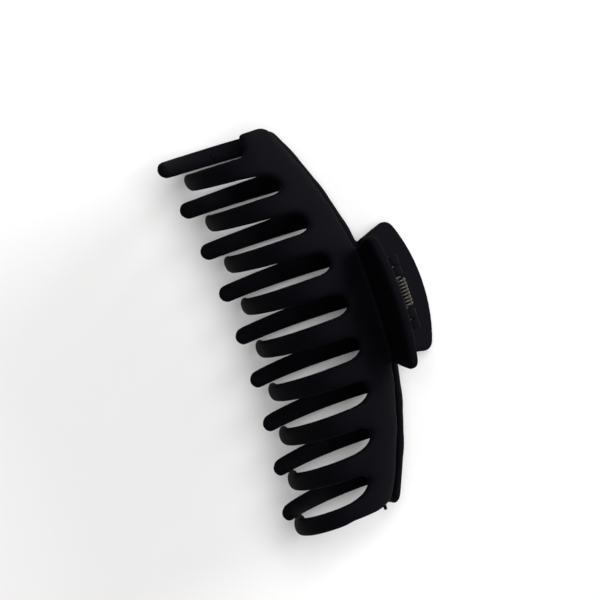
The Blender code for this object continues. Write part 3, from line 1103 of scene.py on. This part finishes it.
@dataclass(frozen=True)
class EjectorMarks:
    """Round marks that the mould's ejector pins leave on the teeth's inner faces."""

    form: ShellForm
    teeth: int = 9
    sweep: float = math.radians(21)
    radius: float = 0.0012
    proud: float = 0.00012
    start_below: float = 0.006

    def mesh(self, moulding: bpy.types.Object, material: bpy.types.Material) -> bpy.types.Mesh:
        """Set one mark on each tooth, and snap it to the moulding's skin, from the hinge."""
        tree = ShapeTree("ejector_marks")
        target = tree.ask("Moulding", moulding, "NodeSocketObject")
        radius = tree.ask("Mark radius", self.radius)
        proud = tree.ask("Proud by", self.proud)
        form = self.form.inputs_of(tree)
        line = tree.add("GeometryNodeMeshLine", Count=self.teeth)
        index = Quantity(tree.tree, tree.add("GeometryNodeInputIndex").outputs[0])
        middle = form.first_tooth(self.teeth) + form.pitch * index
        x = form.fanned(middle, form.share_at(self.sweep))
        across, along, out = form.place(x, self.sweep)
        start = tree.vector(across, along, out - self.start_below)
        points = tree.add("GeometryNodeSetPosition", Geometry=line.outputs[0], Position=start)
        info = tree.add("GeometryNodeObjectInfo", Object=target)
        near = tree.add("GeometryNodeProximity", {"target_element": "FACES"},
                        Geometry=info.outputs["Geometry"])
        here = tree.add("GeometryNodeInputPosition")
        skin = near.outputs["Position"]
        normal = tree.between("NORMALIZE", tree.between("SUBTRACT", here.outputs[0], skin))
        aim = tree.add("FunctionNodeAlignRotationToVector", {"axis": "Z"}, Vector=normal)
        spot = tree.between("ADD", skin, tree.scaled(normal, -proud))
        marked = tree.keep(points.outputs[0], "spot", spot, "FLOAT_VECTOR")
        marked = tree.keep(marked, "aim", aim.outputs[0], "QUATERNION")
        snapped = tree.add("GeometryNodeSetPosition", Geometry=marked,
                           Position=tree.stored("spot", "FLOAT_VECTOR"))
        disc = tree.add("GeometryNodeMeshCylinder", Vertices=28, Radius=radius, Depth=proud * 4.0)
        placed = tree.add("GeometryNodeInstanceOnPoints", Points=snapped.outputs[0],
                          Instance=disc.outputs["Mesh"], Rotation=tree.stored("aim", "QUATERNION"))
        tree.finish(placed.outputs[0], material)
        return tree.mesh("ejector_marks")

    def piece(self, mesh: bpy.types.Mesh, side: JawSide, hinge: Vector) -> bpy.types.Object:
        """Put a jaw's marks on it."""
        copy = mesh.copy()
        put_points(copy, side.moved(points_of(copy), hinge))
        piece = new_object(side.value + "_ejector_marks", copy)
        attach(piece, side.value)
        return piece


# ---- studio ---------------------------------------------------------------------------


@dataclass(frozen=True)
class Studio:
    """Pale floor, soft lights, and the camera nearly square above the clip."""

    hinge: Vector
    roll: float = math.radians(-18.8199)
    tilt_length: float = math.radians(11.8303)
    tilt_depth: float = math.radians(-2.6225)
    side_step: float = 0.0258314
    down_step: float = -0.0000731
    distance: float = 1.112686
    lens: float = 209.48
    ahead: float = 0.0063
    floor_drop: float = 0.0001
    sky: float = 0.26

    def axes(self) -> Matrix:
        """Camera's right, up and back directions, as the columns of a turn."""
        cos_b, sin_b = math.cos(self.tilt_length), math.sin(self.tilt_length)
        cos_c, sin_c = math.cos(self.tilt_depth), math.sin(self.tilt_depth)
        cos_a, sin_a = math.cos(self.roll), math.sin(self.roll)
        flat = Vector((0, cos_b, -sin_b))
        deep = Vector((0, sin_b, cos_b))
        long = Vector((1, 0, 0))
        low = long * cos_c - deep * sin_c
        back = long * sin_c + deep * cos_c
        right = flat * cos_a - low * sin_a
        down = flat * sin_a + low * cos_a
        return Matrix((right, -down, back)).transposed()

    def camera(self) -> None:
        """Make the camera."""
        turn = self.axes()
        data = bpy.data.cameras.new("camera")
        data.lens = self.lens
        data.sensor_width = 36.0
        data.clip_start = 0.05
        data.clip_end = 20.0
        camera = bpy.data.objects.new("camera", data)
        bpy.context.scene.collection.objects.link(camera)
        target = self.hinge + Vector((0, -self.ahead, 0))
        place = target + turn @ Vector((-self.side_step, self.down_step, self.distance))
        camera.matrix_world = Matrix.Translation(place) @ turn.to_4x4()
        bpy.context.scene.camera = camera

    def light(self, name: str, toward: tuple[float, float, float], distance: float, size: float,
              power: float) -> None:
        """Add a soft square light that looks at the clip.

        Args:
            name: its name.
            toward: where it is as the camera sees it: right, up and back.
            distance: how far from the clip.
            size: side of the square.
            power: in watts.
        """
        data = bpy.data.lights.new(name, "AREA")
        data.size = size
        data.energy = power
        lamp = bpy.data.objects.new(name, data)
        bpy.context.scene.collection.objects.link(lamp)
        target = Vector((0, 0, self.hinge.z))
        way = (self.axes() @ Vector(toward)).normalized()
        turn = way.to_track_quat("Z", "Y").to_matrix().to_4x4()
        lamp.matrix_world = Matrix.Translation(target + way * distance) @ turn

    def floor(self) -> None:
        """Lay the floor under the clip."""
        shape = bmesh.new()
        bmesh.ops.create_grid(shape, x_segments=2, y_segments=2, size=2.5)
        mesh = mesh_from(shape, "floor")
        mesh.materials.append(PaleFloor().material())
        floor = new_object("floor", mesh)
        floor.location.z = -self.floor_drop

    def build(self) -> None:
        """Set up the whole studio."""
        self.camera()
        self.floor()
        self.light("key", (0.90, 0.62, 0.42), 1.3, 0.7, 24.0)
        self.light("top", (0.10, 0.10, 1.0), 2.0, 1.0, 31.0)
        world = bpy.data.worlds.new("studio")
        world.use_nodes = True
        sky = world.node_tree.nodes["Background"]
        sky.inputs["Color"].default_value = (1.0, 1.0, 1.0, 1.0)
        sky.inputs["Strength"].default_value = self.sky
        bpy.context.scene.world = world
        bpy.context.scene.view_settings.view_transform = "Standard"


# ---- the clip -------------------------------------------------------------------------


def middle_of(node: str) -> Vector:
    """Middle of a CAD node's box."""
    low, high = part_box(node)
    return (low + high) / 2


def main() -> None:
    """Build the clip's pieces in order and set up the studio."""
    logging.basicConfig(level=logging.INFO, format="%(message)s")
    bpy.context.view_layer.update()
    hinge = middle_of("hinge_pin")
    plastic = SoftTouchPlastic().material()
    moulding = Moulding()
    skin = moulding.mesh(plastic)
    LOG.info("moulding: %d triangles", sum(len(face.vertices) - 2 for face in skin.polygons))
    pattern = new_object("moulding_pattern", skin)
    marks = EjectorMarks(moulding.comb.form)
    mark_mesh = marks.mesh(pattern, plastic)
    for side in JawSide:
        jaw = moulding.jaw(skin, side, hinge)
        dots = marks.piece(mark_mesh, side, hinge)
        LOG.info("%s and %s", jaw.name, dots.name)
    dropped(pattern)
    LOG.info(moulding.gate_piece(plastic, hinge).name)
    LOG.info(HingePin().piece(hinge).name)
    LOG.info(TorsionSpring().piece(moulding.handle, hinge).name)
    Studio(hinge).build()


if __name__ == "__main__":
    main()
